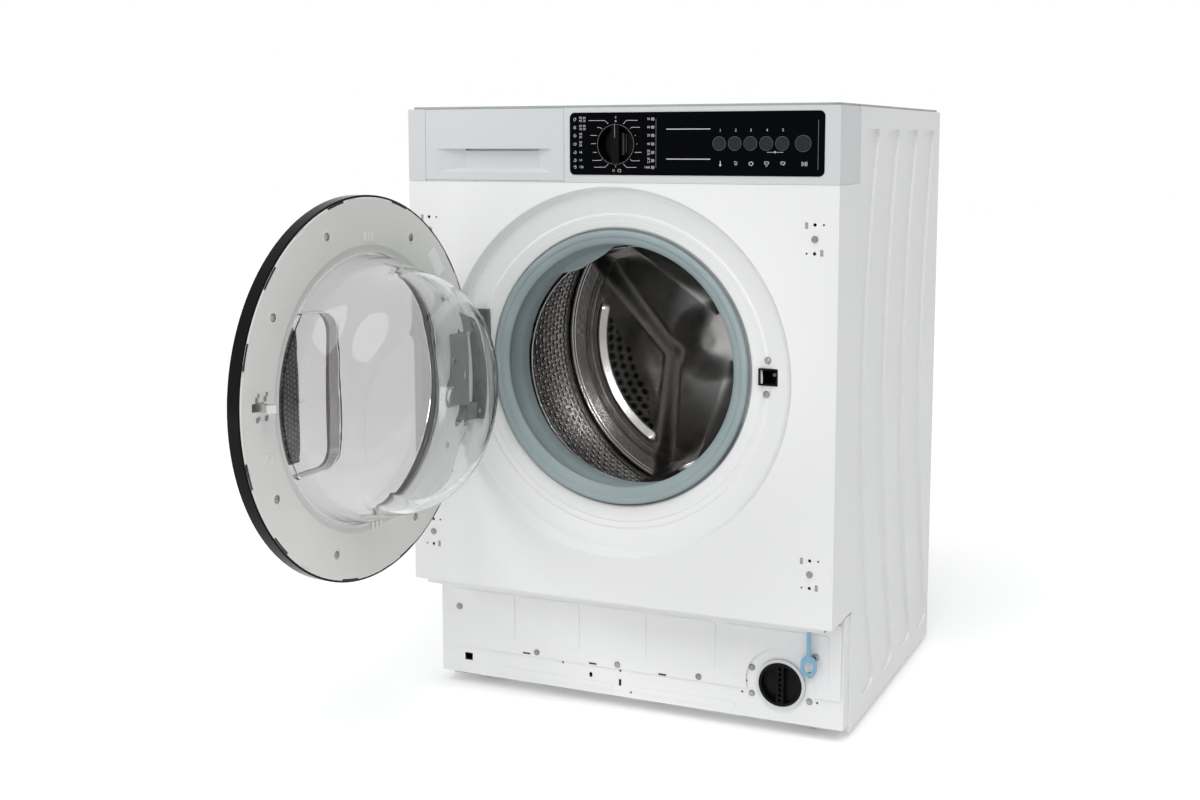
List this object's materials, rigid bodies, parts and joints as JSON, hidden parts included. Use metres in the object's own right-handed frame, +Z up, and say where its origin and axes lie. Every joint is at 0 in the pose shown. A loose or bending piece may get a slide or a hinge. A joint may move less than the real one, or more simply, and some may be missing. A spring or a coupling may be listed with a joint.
{
  "type": "integrated washer dryer",
  "caption": "Built-in front-loading washer dryer with a round glass door standing open, a detergent drawer, a dark control panel and a recessed plinth.",
  "frame": {"origin": "on the floor, below the middle of the front panel's outer face", "axes": "+X to the right seen from the front, +Y into the machine, +Z up"},
  "size_m": [0.597, 1.0178, 0.82],
  "materials": {
    "white_enamel": "smooth white enamel on sheet steel",
    "plinth_enamel": "white powder coat on sheet steel",
    "fascia_plastic": "white moulded plastic, fine satin",
    "galvanised_steel": "zinc-coated sheet steel",
    "top_board": "grey-green coated board",
    "black_glass": "gloss black panel",
    "black_gloss": "gloss black door rim",
    "black_plastic": "black moulded plastic",
    "dark_buttons": "dark grey moulded plastic",
    "grey_frame": "warm light grey moulded plastic",
    "seal_rubber": "blue-grey rubber",
    "belt_rubber": "black ribbed rubber",
    "bright_steel": "bright zinc-plated steel",
    "drum_steel": "bright stainless steel",
    "hinge_casting": "dark grey-green painted casting",
    "cast_aluminium": "sand-cast aluminium",
    "concrete": "cast concrete",
    "tub_plastic": "pale filled polypropylene",
    "duct_plastic": "dark grey heat-proof plastic",
    "clear_glass": "clear pressed glass",
    "tinted_cover": "clear smoked plastic",
    "light_grey_metal": "light grey die casting",
    "motor_steel": "painted motor casing",
    "circuit_board": "lacquered circuit board",
    "tray_plastic": "white moulded plastic",
    "pull_blue": "light blue moulded plastic"
  },
  "bodies": {
    "cabinet": {"side_panel_left": "white_enamel", "side_panel_right": "white_enamel", "rear_panel": "galvanised_steel", "rear_service_cover": "galvanised_steel", "top_cover": "top_board", "top_frame": "galvanised_steel", "front_panel": "white_enamel", "base_rail": "plinth_enamel", "kick_plate": "plinth_enamel", "base_tray": "black_plastic", "levelling_feet": "black_plastic", "control_fascia": "fascia_plastic", "control_glass": "black_glass", "control_board": "circuit_board", "dispenser_housing": "tray_plastic", "rear_fittings": "tray_plastic", "door_lock": "black_plastic", "hinge_bracket": "hinge_casting", "door_seal": "seal_rubber", "seal_clamp_ring": "bright_steel", "suspension_springs": "motor_steel", "damper_tubes": "black_plastic", "drain_pump": "black_plastic", "filter_housing": "tray_plastic", "cabinet_screws": "bright_steel"},
    "tub": {"tub_front": "tub_plastic", "tub_rear": "tub_plastic", "counterweights": "concrete", "drum_bearings": "motor_steel", "wash_heater": "drum_steel", "drive_motor": "motor_steel", "drive_belt": "belt_rubber", "damper_rods": "bright_steel", "dryer_fan_housing": "duct_plastic", "dryer_duct": "duct_plastic"},
    "drum": {"drum_shell": "drum_steel", "drum_back": "drum_steel", "drum_lifters": "drum_steel", "drum_spider": "cast_aluminium", "drum_pulley": "cast_aluminium"},
    "motor_rotor": {"motor_pulley": "bright_steel"},
    "dryer_fan": {"dryer_impeller": "cast_aluminium"},
    "door": {"door_outer_ring": "black_gloss", "door_window_cover": "tinted_cover", "door_inner_frame": "grey_frame", "door_glass_bowl": "clear_glass", "door_hinge_arm": "light_grey_metal", "door_screws": "bright_steel"},
    "latch": {"latch_hook": "light_grey_metal"},
    "drawer": {"drawer_front": "fascia_plastic", "drawer_tray": "tray_plastic"},
    "knob": {"program_knob": "black_plastic"},
    "button_1": {"option_button_1": "dark_buttons"},
    "button_2": {"option_button_2": "dark_buttons"},
    "button_3": {"option_button_3": "dark_buttons"},
    "button_4": {"option_button_4": "dark_buttons"},
    "button_5": {"option_button_5": "dark_buttons"},
    "button_start": {"start_button": "dark_buttons"},
    "cap": {"filter_cap": "black_plastic"},
    "pull": {"emergency_pull": "pull_blue"}
  },
  "joints": [
    {"name": "door_hinge", "type": "hinge", "parent": "cabinet", "child": "door", "pos_m": [-0.2225, -0.004, 0.4753], "axis": [0, 0, -1], "range_deg": [-93.5, 11.5]},
    {"name": "latch_pivot", "type": "hinge", "parent": "door", "child": "latch", "pos_m": [-0.24548, -0.42889, 0.483], "axis": [0, 0, 1], "range_deg": [0, 8], "stiffness_Nm_per_rad": 0.4, "springref_deg": -2.86},
    {"name": "drawer_slide", "type": "slide", "parent": "cabinet", "child": "drawer", "axis": [0, -1, 0], "range_m": [0, 0.22]},
    {"name": "tub_bounce", "type": "slide", "parent": "cabinet", "child": "tub", "axis": [0, 0, 1], "range_m": [-0.012, 0.008], "stiffness_N_per_m": 14000, "springref_m": 0.02226, "deforming": ["suspension_springs", "door_seal"]},
    {"name": "drum_spin", "type": "hinge", "parent": "tub", "child": "drum", "pos_m": [0, 0.2, 0.4753], "axis": [0, 1, 0], "continuous": true},
    {"name": "motor_spin", "type": "hinge", "parent": "tub", "child": "motor_rotor", "pos_m": [0.07, 0.4, 0.128], "axis": [0, 1, 0], "continuous": true},
    {"name": "fan_spin", "type": "hinge", "parent": "tub", "child": "dryer_fan", "pos_m": [0.165, 0.33, 0.76], "axis": [0, 0, 1], "continuous": true},
    {"name": "knob_turn", "type": "hinge", "parent": "cabinet", "child": "knob", "pos_m": [0.0063, 0, 0.7705], "axis": [0, 1, 0], "continuous": true},
    {"name": "cap_turn", "type": "hinge", "parent": "cabinet", "child": "cap", "pos_m": [0.2124, 0.09, 0.0704], "axis": [0, 1, 0], "range_deg": [-270, 0]},
    {"name": "pull_travel", "type": "slide", "parent": "cabinet", "child": "pull", "axis": [0, 0, -1], "range_m": [0, 0.012], "stiffness_N_per_m": 200, "springref_m": -0.0005},
    {"name": "button_1_press", "type": "slide", "parent": "cabinet", "child": "button_1", "axis": [0, 1, 0], "range_m": [0, 0.0012], "stiffness_N_per_m": 600},
    {"name": "button_2_press", "type": "slide", "parent": "cabinet", "child": "button_2", "axis": [0, 1, 0], "range_m": [0, 0.0012], "stiffness_N_per_m": 600},
    {"name": "button_3_press", "type": "slide", "parent": "cabinet", "child": "button_3", "axis": [0, 1, 0], "range_m": [0, 0.0012], "stiffness_N_per_m": 600},
    {"name": "button_4_press", "type": "slide", "parent": "cabinet", "child": "button_4", "axis": [0, 1, 0], "range_m": [0, 0.0012], "stiffness_N_per_m": 600},
    {"name": "button_5_press", "type": "slide", "parent": "cabinet", "child": "button_5", "axis": [0, 1, 0], "range_m": [0, 0.0012], "stiffness_N_per_m": 600},
    {"name": "button_start_press", "type": "slide", "parent": "cabinet", "child": "button_start", "axis": [0, 1, 0], "range_m": [0, 0.0012], "stiffness_N_per_m": 600}
  ],
  "couplings": [
    {"joint": "motor_spin", "follows": "drum_spin", "ratio": 12.455}
  ]
}
